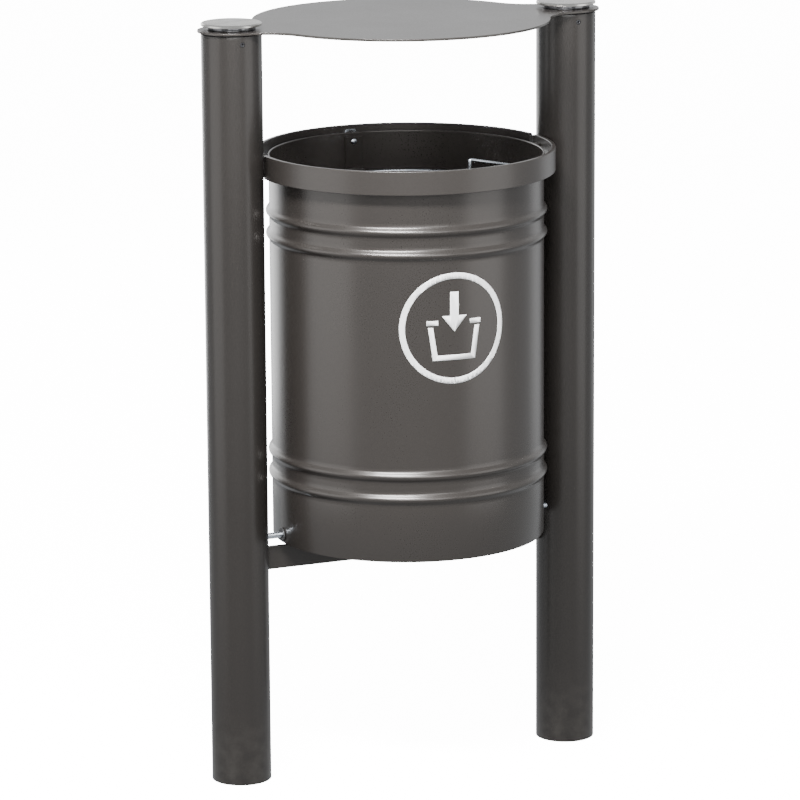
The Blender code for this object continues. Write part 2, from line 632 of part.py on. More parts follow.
GRIP_START = 5.0                  # azimuths of the grip's two legs
GRIP_END = 38.0
GRIP_HEIGHT = 0.067               # its top bar slopes down from this height above the ring
GRIP_LOW_HEIGHT = 0.046           # to this one
GRIP_BEND = 0.0025
GRIP_CORNER = 1.5                 # width of a bend, in degrees
CLIP_HALF_WIDTH = 0.012
CLIP_WALL = 0.0015
CLIP_TAIL = 0.046                 # the clip's strip runs up this far from the hinge
CLIP_FROM_WALL = 0.0008
RIVET_HEAD_RADIUS = 0.004
RIVET_HEAD_HEIGHT = 0.0016
RIVET_COLLAR_RADIUS = 0.0032
RIVET_COLLAR_HEIGHT = 0.0009
REST_AZIMUTH = 60
REST_HALF_WIDTH = 0.005
REST_THICKNESS = 0.003
REST_UNDER_RING = 0.004           # how far inside the ring's centre line it reaches


def ring_route():
    """Closed route of the bag ring: a circle, straight in the hinge at the back, with a tall grip at the front."""
    hinge_angle = math.degrees(math.asin(RING_HINGE_HALF / RING_RADIUS))

    def stretch(start, end, steps, rise=0.0, rise_end=0.0):
        points = []
        for i in range(steps + 1):
            share = i / steps
            height = RING_Z + rise + (rise_end - rise) * share
            points.append(around_bin(RING_RADIUS, start + (end - start) * share, height))
        return points

    top_start = GRIP_START + GRIP_CORNER
    top_end = GRIP_END - GRIP_CORNER
    route = stretch(GRIP_END + GRIP_CORNER, 180 - hinge_angle, 24)
    route += stretch(180 + hinge_angle, 360 + GRIP_START - GRIP_CORNER, 30)
    route += stretch(GRIP_START, GRIP_START, 1, GRIP_BEND, GRIP_HEIGHT - GRIP_BEND)
    route += stretch(top_start, top_end, 6, GRIP_HEIGHT, GRIP_LOW_HEIGHT)
    route += stretch(GRIP_END, GRIP_END, 1, GRIP_LOW_HEIGHT - GRIP_BEND, GRIP_BEND)
    return route


def make_bag_ring(mats, ring_pivot, bin_pivot):
    curve = bpy.data.curves.new("bag_ring", "CURVE")
    curve.dimensions = "3D"
    curve.bevel_depth = RING_WIRE
    curve.bevel_resolution = 2
    route = ring_route()
    spline = curve.splines.new("POLY")
    spline.points.add(len(route) - 1)
    for point, place in zip(spline.points, route):
        point.co = (*(place - Vector(ring_pivot.location)), 1.0)
    spline.use_cyclic_u = True
    curve.materials.append(mats["zinc"])
    ring = bpy.data.objects.new("bag_ring", curve)
    bpy.context.scene.collection.objects.link(ring)
    ring.parent = ring_pivot

    eye = RING_WIRE + GAP + CLIP_WALL
    hinge = RING_HINGE_Y - BIN_Y
    tail_out = BODY_INNER - CLIP_FROM_WALL
    tail_in = tail_out - CLIP_WALL
    outline = [(tail_out, CLIP_TAIL), (tail_out, -eye)] + arc((hinge, 0), eye, 270, 90, 10)
    outline += [(tail_in, eye), (tail_in, CLIP_TAIL)]
    place = Matrix.Translation((-CLIP_HALF_WIDTH, BIN_Y, RING_Z))
    upright = Matrix(((0, 0, 1, 0), (1, 0, 0, 0), (0, 1, 0, 0), (0, 0, 0, 1)))
    strip = prism(outline, 2 * CLIP_HALF_WIDTH, place @ upright)
    clip = add_object("ring_clip", strip, mats["zinc"], bin_pivot)
    eye_end = Vector((CLIP_HALF_WIDTH + CUT_MARGIN, RING_HINGE_Y, RING_Z))
    cut(clip, "clip_eye", rod(RING_WIRE + GAP, eye_end - Vector((2 * eye_end.x, 0, 0)), eye_end, 16))
    tail_face = Vector((0, BIN_Y + tail_in - CUT_MARGIN, CLIP_RIVET_Z))
    run = Vector((0, CLIP_WALL + 2 * CUT_MARGIN, 0))
    cut(clip, "clip_tail_hole", rod(RIVET_RADIUS + GAP, tail_face, tail_face + run, 12))

    rivet_base = along((0.0, BIN_Y, CLIP_RIVET_Z), (0, 1, 0))
    head_out = tail_in - GAP
    collar_in = BODY_RADIUS + GAP
    collar_out = collar_in + RIVET_COLLAR_HEIGHT
    rivet = [(0.0, head_out - RIVET_HEAD_HEIGHT),
             (0.60 * RIVET_HEAD_RADIUS, head_out - 0.80 * RIVET_HEAD_HEIGHT),
             (0.95 * RIVET_HEAD_RADIUS, head_out - 0.25 * RIVET_HEAD_HEIGHT), (RIVET_HEAD_RADIUS, head_out),
             (RIVET_RADIUS, head_out), (RIVET_RADIUS, collar_in), (RIVET_COLLAR_RADIUS, collar_in),
             (RIVET_COLLAR_RADIUS, collar_out), (0.0, collar_out)]
    add_object("clip_rivet", turned(rivet, 12, rivet_base), mats["zinc"], bin_pivot)

    top = RING_Z - RING_WIRE - GAP
    for side, sign in SIDES:
        rest = box((RING_RADIUS - REST_UNDER_RING, -REST_HALF_WIDTH, top - REST_THICKNESS),
                   (BODY_INNER - 0.0009, REST_HALF_WIDTH, top))
        swing = math.radians(sign * REST_AZIMUTH - 90)
        turn = Matrix.Translation((0, BIN_Y, 0)) @ Matrix.Rotation(swing, 4, "Z")
        bmesh.ops.transform(rest, matrix=turn, verts=rest.verts)
        add_object(f"{side}_ring_rest", rest, mats["zinc"], bin_pivot)


# ---------------------------------------------------------------- build

def main():
    clear_scene()
    mats = make_materials()
    bin_pivot = pivot_empty("bin_tilt_axis", (0.0, BIN_Y, PIVOT_Z))
    ring_pivot = pivot_empty("bag_ring_axis", (0.0, RING_HINGE_Y, RING_Z))
    lock_pivot = pivot_empty("lock_axis", (0.0, BIN_Y + HOOP_OUTER, HOOP_MIDDLE))
    make_posts(mats)
    make_post_tops(mats)
    make_roof(mats)
    make_crossbar(mats)
    make_hoop(mats, bin_pivot)
    make_body(mats, bin_pivot)
    make_floor(mats, bin_pivot)
    make_pivots(mats, bin_pivot)
    make_lock(mats, lock_pivot, bin_pivot)
    make_bag_ring(mats, ring_pivot, bin_pivot)


main()
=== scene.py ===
"""Looks of the litter bin: fine geometry, finishes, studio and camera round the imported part."""

import math

import bmesh
import bpy
from mathutils import Matrix, Vector


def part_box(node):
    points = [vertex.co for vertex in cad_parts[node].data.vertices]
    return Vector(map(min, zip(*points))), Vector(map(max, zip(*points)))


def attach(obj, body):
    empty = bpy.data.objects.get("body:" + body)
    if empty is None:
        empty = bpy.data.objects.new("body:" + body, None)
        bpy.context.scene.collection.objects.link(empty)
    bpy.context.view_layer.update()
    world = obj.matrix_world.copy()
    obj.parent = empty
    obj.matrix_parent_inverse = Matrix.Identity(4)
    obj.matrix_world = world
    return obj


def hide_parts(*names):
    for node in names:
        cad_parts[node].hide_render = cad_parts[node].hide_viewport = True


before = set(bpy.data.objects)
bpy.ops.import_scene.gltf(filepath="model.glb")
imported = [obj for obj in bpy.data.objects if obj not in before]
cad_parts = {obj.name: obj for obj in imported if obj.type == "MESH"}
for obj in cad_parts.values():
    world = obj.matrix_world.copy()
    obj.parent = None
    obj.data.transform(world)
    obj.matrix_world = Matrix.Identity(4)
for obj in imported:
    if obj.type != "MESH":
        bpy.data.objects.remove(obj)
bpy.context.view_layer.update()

SIDES = (("left", -1), ("right", 1))
WELD_DISTANCE = 0.00001
FLAT_ANGLE = 0.5
SHARP_ANGLE = 35
ROUNDED_ANGLE = 40


# ---------------------------------------------------------------- sizes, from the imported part

def middle_of(node):
    low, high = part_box(node)
    return (low + high) / 2


POST_LOW, POST_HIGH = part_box("right_post")
POST = middle_of("right_post")
POST_RADIUS = (POST_HIGH.x - POST_LOW.x) / 2
POST_WALL = 0.003
POST_TOP = POST_HIGH.z
GRUB_HOLE_RADIUS = 0.0033
BOLT_HOLE_RADIUS = 0.0043

BODY_LOW, BODY_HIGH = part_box("bin_body")
BIN_Y = (BODY_LOW.y + BODY_HIGH.y) / 2
RIB_HEIGHT = 0.0042
RIB_HALF_BASE = 0.0078
RIBS_BELOW_RIM = (0.0715, 0.1005)
RIBS_ABOVE_BOTTOM = (0.0805, 0.1095)
BODY_RADIUS = (BODY_HIGH.x - BODY_LOW.x) / 2 - RIB_HEIGHT
BODY_WALL = 0.0015
RIM_Z = BODY_HIGH.z
BOTTOM_Z = BODY_LOW.z
HEM_STEP = 0.0012
HEM_HEIGHT = 0.008
BUSH_HOLE_RADIUS = 0.0063
SEAM_RADIUS = 0.0007

HOOP_LOW, HOOP_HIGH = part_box("front_hoop")
HOOP_OUTER = (HOOP_HIGH.x - HOOP_LOW.x) / 2
HOOP_THICKNESS = 0.005
HOOP_INNER = HOOP_OUTER - HOOP_THICKNESS
HOOP_EDGE = 0.0009
LOCK_HOLE_RADIUS = 0.0083
TAB_HALF_WIDTH = 0.0068
TABS = (("left", -90), ("front_left", -35), ("front_right", 35), ("right", 90))

ROOF_LOW, ROOF_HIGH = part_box("roof_plate")
ROOF_RADIUS = (ROOF_HIGH.y - ROOF_LOW.y) / 2
ROOF_EYE_RADIUS = ROOF_HIGH.x - POST.x
ROOF_FILLET = 0.060
STUD_HOLE_RADIUS = 0.0055
FACE_GAP = 0.0003

BAR_LOW, BAR_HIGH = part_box("crossbar")
RING_LOW, RING_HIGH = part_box("bag_ring")
WIRE = 0.002
RING_RADIUS = (RING_HIGH.x - RING_LOW.x) / 2 - WIRE
RING_Z = RING_LOW.z + WIRE
RING_HINGE_HALF = 0.025
GRIP_START = 5.0
GRIP_END = 38.0
GRIP_TOP = RING_HIGH.z - RING_LOW.z - 2 * WIRE
GRIP_SLOPE = 0.021
GRIP_FOOT = 0.003
PIVOT_Z = middle_of("left_pivot_bush").z


# ---------------------------------------------------------------- mesh helpers

def around(radius, azimuth, height):
    """A point at an azimuth round the bin's axis: 0 is the front, 90 is the right."""
    angle = math.radians(azimuth)
    return Vector((radius * math.sin(angle), BIN_Y - radius * math.cos(angle), height))


def arc(centre, radius, start, end, steps):
    points = []
    for i in range(steps + 1):
        angle = math.radians(start + (end - start) * i / steps)
        points.append((centre[0] + radius * math.cos(angle), centre[1] + radius * math.sin(angle)))
    return points


def turned(profile, segments, matrix=None):
    """A solid of revolution about Z from a closed profile of (radius, height) points."""
    bm = bmesh.new()
    rings = []
    for radius, height in profile:
        if radius == 0.0:
            rings.append([bm.verts.new((0.0, 0.0, height))])
            continue
        ring = []
        for i in range(segments):
            angle = 2 * math.pi * i / segments
            ring.append(bm.verts.new((radius * math.cos(angle), radius * math.sin(angle), height)))
        rings.append(ring)
    for a, b in zip(rings, rings[1:] + rings[:1]):
        for i in range(segments):
            j = (i + 1) % segments
            corners = [a[i % len(a)], a[j % len(a)], b[j % len(b)], b[i % len(b)]]
            unique = list(dict.fromkeys(corners))
            if len(unique) > 2:
                bm.faces.new(unique)
    if matrix:
        bmesh.ops.transform(bm, matrix=matrix, verts=bm.verts)
    return bm


def prism(outline, depth, matrix=None):
    """Extrudes a closed outline of (x, y) points along +Z by depth."""
    bm = bmesh.new()
    base = bm.faces.new([bm.verts.new((x, y, 0.0)) for x, y in outline])
    grown = bmesh.ops.extrude_face_region(bm, geom=[base])
    top = [item for item in grown["geom"] if isinstance(item, bmesh.types.BMVert)]
    bmesh.ops.translate(bm, vec=(0, 0, depth), verts=top)
    if matrix:
        bmesh.ops.transform(bm, matrix=matrix, verts=bm.verts)
    return bm


def rod(radius, start, end, segments=24):
    run = Vector(end) - Vector(start)
    turn = Vector((0, 0, 1)).rotation_difference(run.normalized()).to_matrix().to_4x4()
    profile = [(0.0, 0.0), (radius, 0.0), (radius, run.length), (0.0, run.length)]
    return turned(profile, segments, Matrix.Translation(Vector(start)) @ turn)


def tube(points, radii, segments=12, closed=False):
    """A round bar along points, its radius given at each point."""
    bm = bmesh.new()
    count = len(points)
    side = None
    rings = []
    for i, point in enumerate(points):
        after = points[(i + 1) % count] if closed or i < count - 1 else point
        before = points[i - 1] if closed or i > 0 else point
        ahead = (after - before).normalized()
        if side is None:
            side = ahead.orthogonal().normalized()
        side = (side - ahead * side.dot(ahead)).normalized()
        up = ahead.cross(side)
        ring = []
        for k in range(segments):
            angle = 2 * math.pi * k / segments
            ring.append(bm.verts.new(point + (side * math.cos(angle) + up * math.sin(angle)) * radii[i]))
        rings.append(ring)
    pairs = list(zip(rings, rings[1:]))
    if closed:
        first = min(range(segments), key=lambda k: (rings[0][k].co - rings[-1][0].co).length)
        pairs.append((rings[-1], rings[0][first:] + rings[0][:first]))
    for a, b in pairs:
        for k in range(segments):
            n = (k + 1) % segments
            bm.faces.new((a[k], a[n], b[n], b[k]))
    if not closed:
        bm.faces.new(rings[0])
        bm.faces.new(rings[-1])
    return bm


def piece(name, bm, mat, body, nodes=(), bevel=0.0, centre=(0.0, 0.0, 0.0),
          sharp=SHARP_ANGLE):
    """An object from a bmesh in row coordinates, on its body, in place of its CAD nodes."""
    centre = Vector(centre)
    bmesh.ops.translate(bm, verts=bm.verts, vec=-centre)
    bmesh.ops.recalc_face_normals(bm, faces=bm.faces)
    mesh = bpy.data.meshes.new(name)
    bm.to_mesh(mesh)
    bm.free()
    mesh.materials.append(mat)
    mesh.shade_smooth()
    mesh.set_sharp_from_angle(angle=math.radians(sharp))
    obj = bpy.data.objects.new(name, mesh)
    obj.location = centre
    bpy.context.scene.collection.objects.link(obj)
    if bevel:
        soften(obj, bevel)
    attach(obj, body)
    if nodes:
        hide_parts(*nodes)
    return obj


def soften(obj, width, segments=3):
    """Rounds the sharp edges, with shading that runs on over the flats."""
    bevel = obj.modifiers.new("soft_edges", "BEVEL")
    bevel.width = width
    bevel.segments = segments
    bevel.limit_method = "ANGLE"
    bevel.angle_limit = math.radians(ROUNDED_ANGLE)
    bevel.harden_normals = True
    obj.data.set_sharp_from_angle(angle=math.radians(180))


def drill(obj, name, bm):
    """Cuts the solid in bm out of obj, for good."""
    bmesh.ops.translate(bm, verts=bm.verts, vec=-obj.location)
    bmesh.ops.recalc_face_normals(bm, faces=bm.faces)
    mesh = bpy.data.meshes.new(name)
    bm.to_mesh(mesh)
    bm.free()
    cutter = bpy.data.objects.new(name, mesh)
    cutter.matrix_world = Matrix.Translation(obj.location)
    bpy.context.scene.collection.objects.link(cutter)
    modifier = obj.modifiers.new(name, "BOOLEAN")
    modifier.operation = "DIFFERENCE"
    modifier.solver = "EXACT"
    modifier.object = cutter
    bpy.context.view_layer.update()
    graph = bpy.context.evaluated_depsgraph_get()
    done = bpy.data.meshes.new_from_object(obj.evaluated_get(graph))
    obj.modifiers.clear()
    obj.data = done
    obj.data.shade_smooth()
    obj.data.set_sharp_from_angle(angle=math.radians(SHARP_ANGLE))
    bpy.data.objects.remove(cutter, do_unlink=True)


def refined(node, body, mat, bevel=0.0003):
    """The CAD node's own shape with its edges softened and the finish given."""
    bm = bmesh.new()
    bm.from_mesh(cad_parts[node].data)
    bmesh.ops.remove_doubles(bm, verts=bm.verts, dist=WELD_DISTANCE)
    bmesh.ops.dissolve_limit(bm, angle_limit=math.radians(FLAT_ANGLE), verts=bm.verts, edges=bm.edges)
    mesh = bpy.data.meshes.new(node + "_model")
    bm.to_mesh(mesh)
    bm.free()
    mesh.materials.append(mat)
    mesh.shade_smooth()
    mesh.set_sharp_from_angle(angle=math.radians(SHARP_ANGLE))
    obj = bpy.data.objects.new(node + "_model", mesh)
    bpy.context.scene.collection.objects.link(obj)
    soft = obj.modifiers.new("soft_edges", "BEVEL")
    soft.width = bevel
    soft.segments = 2
    soft.limit_method = "ANGLE"
    soft.angle_limit = math.radians(ROUNDED_ANGLE)
    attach(obj, body)
    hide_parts(node)
    return obj


# ---------------------------------------------------------------- materials

class Finish:
    """A node material under construction: short calls that add and link nodes."""

    def __init__(self, name):
        self.material = bpy.data.materials.new(name)
        self.material.use_nodes = True
        self.tree = self.material.node_tree
        self.shader = self.tree.nodes["Principled BSDF"]
        self.place = self.add("ShaderNodeTexCoord").outputs["Object"]

    def add(self, kind, **settings):
        node = self.tree.nodes.new(kind)
        for key, value in settings.items():
            setattr(node, key, value)
        return node

    def link(self, output, socket):
        self.tree.links.new(output, socket)

    def fixed(self, **values):
        for key, value in values.items():
            self.shader.inputs[key.replace("_", " ")].default_value = value

    def stretched(self, scale, shift=(0.0, 0.0, 0.0)):
        node = self.add("ShaderNodeMapping")
        node.inputs["Scale"].default_value = scale
        node.inputs["Location"].default_value = shift
        self.link(self.place, node.inputs["Vector"])
        return node.outputs["Vector"]

    def noise(self, scale, detail=2.0, place=None, roughness=0.5):
        node = self.add("ShaderNodeTexNoise")
        node.inputs["Scale"].default_value = scale
        node.inputs["Detail"].default_value = detail
        node.inputs["Roughness"].default_value = roughness
        self.link(place or self.place, node.inputs["Vector"])
        return node.outputs["Fac"]

    def cells(self, scale):
        node = self.add("ShaderNodeTexVoronoi")
        node.inputs["Scale"].default_value = scale
        self.link(self.place, node.inputs["Vector"])
        return node.outputs["Color"]

    def ranged(self, value, from_low, from_high, to_low, to_high):
        node = self.add("ShaderNodeMapRange", clamp=True)
        self.link(value, node.inputs["Value"])
        for socket, number in (("From Min", from_low), ("From Max", from_high),
                               ("To Min", to_low), ("To Max", to_high)):
            node.inputs[socket].default_value = number
        return node.outputs["Result"]

    def sum(self, a, b, operation="ADD"):
        node = self.add("ShaderNodeMath", operation=operation)
        self.link(a, node.inputs[0])
        self.link(b, node.inputs[1])
        return node.outputs["Value"]

    def blend(self, share, a, b):
        """Mixes two colours, each a socket or an (r, g, b)."""
        node = self.add("ShaderNodeMix", data_type="RGBA")
        self.link(share, node.inputs["Factor"])
        for colour, socket in ((a, node.inputs[6]), (b, node.inputs[7])):
            if isinstance(colour, tuple):
                socket.default_value = (*colour, 1.0)
            else:
                self.link(colour, socket)
        return node.outputs[2]

    def bump(self, height, strength, distance, under=None):
        node = self.add("ShaderNodeBump")
        node.inputs["Strength"].default_value = strength
        node.inputs["Distance"].default_value = distance
        self.link(height, node.inputs["Height"])
        if under:
            self.link(under, node.inputs["Normal"])
        return node.outputs["Normal"]

    def height_up(self):
        node = self.add("ShaderNodeSeparateXYZ")
        self.link(self.place, node.inputs["Vector"])
        return node.outputs["Z"]


PAINT_COLOUR = (0.0375, 0.0330, 0.0300)
DUST_COLOUR = (0.10, 0.092, 0.082)
DUST_TOP = 0.10


def scaled(colour, factor):
    return tuple(channel * factor for channel in colour)


def paint(name, colour, roughness, shift=0.0):
    """Satin metallic powder coat: flake, soft orange peel, slow mottling, a few rub marks, foot dust."""
    finish = Finish(name)
    flake = finish.noise(1500.0, 1.0)
    grain = finish.noise(620.0, 3.0)
    mottle = finish.noise(7.0, 3.0, finish.stretched((1.0, 1.0, 0.6), (shift, 0.0, 0.0)))
    rub = finish.noise(42.0, 5.0, finish.stretched((1.0, 1.0, 0.12), (0.0, shift, 0.0)), 0.65)
    flake_share = finish.ranged(flake, 0.35, 0.65, 0.0, 1.0)
    base = finish.blend(flake_share, scaled(colour, 0.90), scaled(colour, 1.12))
    base = finish.blend(finish.ranged(mottle, 0.3, 0.7, 0.0, 0.25), base, scaled(colour, 1.20))
    base = finish.blend(finish.ranged(rub, 0.68, 0.82, 0.0, 0.12), base, scaled(colour, 2.0))
    near_ground = finish.ranged(finish.height_up(), 0.0, DUST_TOP, 0.35, 0.0)
    patches = finish.ranged(finish.noise(60.0, 4.0), 0.35, 0.75, 0.0, 1.0)
    base = finish.blend(finish.sum(near_ground, patches, "MULTIPLY"), base, DUST_COLOUR)
    finish.link(base, finish.shader.inputs["Base Color"])
    rough = finish.sum(finish.ranged(mottle, 0.3, 0.7, roughness - 0.02, roughness + 0.025),
                       finish.ranged(grain, 0.3, 0.7, -0.03, 0.03))
    rough = finish.sum(rough, finish.ranged(rub, 0.68, 0.82, 0.0, 0.05))
    finish.link(rough, finish.shader.inputs["Roughness"])
    peel = finish.bump(grain, 0.08, 0.0005)
    finish.link(finish.bump(flake, 0.03, 0.0002, peel), finish.shader.inputs["Normal"])
    finish.fixed(Metallic=0.45, Specular_IOR_Level=0.4, Coat_Weight=0.45, Coat_Roughness=0.24)
    return finish.material


def turned_steel(name):
    """Stainless steel faced on a lathe: fine rings, a soft streaked gleam, light handling marks."""
    finish = Finish(name)
    rings = finish.add("ShaderNodeTexWave", wave_type="RINGS", rings_direction="Z")
    rings.inputs["Scale"].default_value = 620.0
    rings.inputs["Distortion"].default_value = 0.6
    finish.link(finish.place, rings.inputs["Vector"])
    marks = finish.noise(300.0, 4.0)
    cloud = finish.noise(45.0, 3.0)
    base = finish.blend(finish.ranged(cloud, 0.3, 0.7, 0.0, 1.0), (0.56, 0.545, 0.52), (0.70, 0.69, 0.665))
    base = finish.blend(finish.ranged(rings.outputs["Fac"], 0.0, 1.0, 0.0, 0.18), base, (0.42, 0.41, 0.40))
    finish.link(base, finish.shader.inputs["Base Color"])
    finish.link(finish.ranged(marks, 0.3, 0.75, 0.17, 0.30), finish.shader.inputs["Roughness"])
    normal = finish.bump(rings.outputs["Fac"], 0.10, 0.0002)
    finish.link(finish.bump(marks, 0.04, 0.0002, normal), finish.shader.inputs["Normal"])
    finish.fixed(Metallic=1.0, Anisotropic=0.6)
    return finish.material


def plated(name, light=(0.62, 0.66, 0.71), dark=(0.40, 0.43, 0.47), shiny=0.20, dull=0.38):
    """Plated or blackened metal: fine crystals, slow clouding, dulled patches. Plain, it is bright zinc."""
    finish = Finish(name)
    cloud = finish.noise(90.0, 4.0)
    crystals = finish.add("ShaderNodeRGBToBW")
    finish.link(finish.cells(1100.0), crystals.inputs["Color"])
    base = finish.blend(finish.ranged(cloud, 0.3, 0.7, 0.0, 1.0), dark, light)
    crystal_share = finish.ranged(crystals.outputs["Val"], 0.0, 1.0, 0.0, 0.22)
    base = finish.blend(crystal_share, base, scaled(light, 1.2))
    finish.link(base, finish.shader.inputs["Base Color"])
    finish.link(finish.ranged(cloud, 0.3, 0.7, dull, shiny), finish.shader.inputs["Roughness"])
    finish.link(finish.bump(crystals.outputs["Val"], 0.05, 0.0002), finish.shader.inputs["Normal"])
    finish.fixed(Metallic=1.0)
    return finish.material


def moulded(name, colour, roughness, grain_scale):
    """Rubber or nylon: a fine matt grain with slightly shiny worn spots."""
    finish = Finish(name)
    grain = finish.noise(grain_scale, 4.0)
    worn = finish.noise(120.0, 3.0)
    base = finish.blend(finish.ranged(worn, 0.35, 0.7, 0.0, 1.0), scaled(colour, 0.8), scaled(colour, 1.5))
    finish.link(base, finish.shader.inputs["Base Color"])
    rough = finish.ranged(worn, 0.35, 0.7, roughness + 0.08, roughness - 0.08)
    finish.link(rough, finish.shader.inputs["Roughness"])
    finish.link(finish.bump(grain, 0.25, 0.0003), finish.shader.inputs["Normal"])
    return finish.material


def vinyl(name):
    """White outdoor film: a faint warm clouding, fine print grain, slightly dull rubbed places."""
    finish = Finish(name)
    cloud = finish.noise(30.0, 4.0)
    grain = finish.noise(1800.0, 2.0)
    base = finish.blend(finish.ranged(cloud, 0.3, 0.7, 0.0, 1.0), (0.80, 0.80, 0.79), (0.90, 0.90, 0.90))
    finish.link(base, finish.shader.inputs["Base Color"])
    finish.link(finish.ranged(cloud, 0.3, 0.7, 0.30, 0.42), finish.shader.inputs["Roughness"])
    finish.link(finish.bump(grain, 0.05, 0.0002), finish.shader.inputs["Normal"])
    return finish.material


post_paint = paint("post_paint", scaled(PAINT_COLOUR, 0.66), 0.36)
frame_paint = paint("frame_paint", scaled(PAINT_COLOUR, 0.80), 0.36, shift=3.1)
roof_paint = paint("roof_paint", PAINT_COLOUR, 0.36, shift=5.7)
hoop_paint = paint("hoop_paint", scaled(PAINT_COLOUR, 1.05), 0.38, shift=9.3)
bin_paint = paint("bin_paint", scaled(PAINT_COLOUR, 1.05), 0.30, shift=12.9)
stainless = turned_steel("turned_stainless")
# The cap necks' steel is painted near black: painted shade in the gap under the cap and a painted
# reflection of dark surroundings, not the steel's own colour.
neck_painted_dark_steel = plated("painted_shade_stainless", (0.20, 0.20, 0.205), (0.05, 0.05, 0.055), 0.08, 0.16)
zinc = plated("zinc_plate")
black_oxide = plated("black_oxide", (0.10, 0.10, 0.105), (0.045, 0.045, 0.05), 0.35, 0.50)
rubber = moulded("rubber", (0.022, 0.022, 0.022), 0.72, 900.0)
nylon = moulded("black_nylon", (0.028, 0.028, 0.029), 0.50, 1400.0)
decal_white = vinyl("decal_film")


# ---------------------------------------------------------------- posts, roof and caps

def rounded_ring(inner, outer, low, high, radius, steps=3):
    """Closed profile of a thick ring with rounded edges, for turned()."""
    corners = ((outer - radius, low + radius, -90), (outer - radius, high - radius, 0),
               (inner + radius, high - radius, 90), (inner + radius, low + radius, 180))
    profile = []
    for x, z, start in corners:
        profile += arc((x, z), radius, start, start + 90, steps)
    return profile


def with_heights(profile, radius, heights):
    """Adds rings at the given heights on the profile's straight run at that radius."""
    grown = []
    for a, b in zip(profile, profile[1:] + profile[:1]):
        grown.append(a)
        if abs(a[0] - radius) < 1e-6 and abs(b[0] - radius) < 1e-6 and abs(b[1] - a[1]) > 0.1:
            inside = sorted(heights, reverse=b[1] < a[1])
            grown += [(radius, z) for z in inside]
    return grown


def make_posts():
    """Tubes with rounded ends, rings near the holes for even shading, and the drilled holes."""
    grub_z = middle_of("left_grub_screw").z
    bands = (0.05, PIVOT_Z - 0.012, PIVOT_Z + 0.012, 0.55, 0.75, grub_z - 0.006, grub_z + 0.006)
    profile = rounded_ring(POST_RADIUS - POST_WALL, POST_RADIUS, 0.0, POST_TOP, 0.0005)
    for radius in (POST_RADIUS, POST_RADIUS - POST_WALL):
        profile = with_heights(profile, radius, bands)
    for side, sign in SIDES:
        stand = Vector((sign * POST.x, POST.y, 0.0))
        walls = turned(profile, 128, Matrix.Translation(stand))
        post = piece(f"{side}_post_tube", walls, post_paint, "frame", [f"{side}_post"],
                     centre=stand)
        front = stand + Vector((0, -POST_RADIUS - 0.002, grub_z))
        drill(post, "grub_hole", rod(GRUB_HOLE_RADIUS, front, front + Vector((0, 0.010, 0))))
        inner = Vector((sign * (POST.x - POST_RADIUS - 0.002), BIN_Y, PIVOT_Z))
        drill(post, "bolt_hole", rod(BOLT_HOLE_RADIUS, inner, inner + Vector((sign * 0.014, 0, 0))))


def roof_outline():
    to_disc = ROOF_RADIUS + ROOF_FILLET
    to_eye = ROOF_EYE_RADIUS + ROOF_FILLET
    fillet_x = (to_disc ** 2 - to_eye ** 2 + POST.x ** 2) / (2 * POST.x)
    fillet_y = math.sqrt(to_disc ** 2 - fillet_x ** 2)
    disc_angle = math.degrees(math.atan2(fillet_y, fillet_x))
    eye_angle = math.degrees(math.atan2(fillet_y, fillet_x - POST.x))
    quarter = arc((0, 0), ROOF_RADIUS, 90, disc_angle, 40)
    quarter += arc((fillet_x, fillet_y), ROOF_FILLET, disc_angle - 180, eye_angle - 180, 20)[1:]
    quarter += arc((POST.x, 0), ROOF_EYE_RADIUS, eye_angle, 0, 24)[1:]
    right_half = quarter + [(x, -y) for x, y in reversed(quarter[:-1])]
    return right_half + [(-x, y) for x, y in reversed(right_half[1:-1])]


def make_roof():
    stand = Vector((0.0, POST.y, ROOF_LOW.z))
    sheet = prism(roof_outline(), ROOF_HIGH.z - ROOF_LOW.z, Matrix.Translation(stand))
    piece("roof_sheet", sheet, roof_paint, "frame", ["roof_plate"], bevel=0.0007)


def make_caps():
    """Stainless cap with a rounded foot and a chamfered top edge, over a narrower spacer whose steel is
    painted dark, as painted shade and painted reflection.
    """
    edge = 0.0008
    for side, sign in SIDES:
        stand = Vector((sign * POST.x, POST.y, 0.0))
        place = Matrix.Translation(stand)
        neck_low, neck_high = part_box(f"{side}_cap_spacer")
        neck_radius = (neck_high.x - neck_low.x) / 2
        neck = rounded_ring(STUD_HOLE_RADIUS, neck_radius, neck_low.z, neck_high.z, 0.0003)
        piece(f"{side}_cap_neck", turned(neck, 96, place), neck_painted_dark_steel, "frame",
              [f"{side}_cap_spacer"], centre=stand + Vector((0, 0, neck_low.z)))
        base = neck_high.z + FACE_GAP
        cap_low, cap_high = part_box(f"{side}_cap")
        radius = (cap_high.x - cap_low.x) / 2
        top = cap_high.z
        profile = [(0.0, cap_low.z), (0.005, cap_low.z), (0.005, base), (radius - edge, base)]
        profile += arc((radius - edge, base + edge), edge, -90, 0, 3)
        profile += [(radius, top - 0.0013), (radius - 0.0004, top - 0.0010)]
        profile += [(radius - 0.0014, top - 0.0002), (radius - 0.0020, top - 0.00005)]
        profile += [(radius - 0.0040, top), (0.0, top)]
        piece(f"{side}_cap_disc", turned(profile, 96, place), stainless, "frame",
              [f"{side}_cap"], centre=stand + Vector((0, 0, base)), sharp=20)


def weld_bead(name, start, end, radius, mat, body):
    """A rippled bead along a straight joint."""
    start = Vector(start)
    run = Vector(end) - start
    steps = max(8, int(run.length / 0.0005))
    points = [start + run * (i / steps) for i in range(steps + 1)]
    radii = []
    for i in range(steps + 1):
        ends = min(1.0, 0.35 + 4 * min(i, steps - i) / steps)
        radii.append(radius * ends * (0.93 + 0.09 * math.sin(i * 1.15) + 0.04 * math.sin(i * 0.37)))
    return piece(name, tube(points, radii, 10), mat, body, sharp=60)


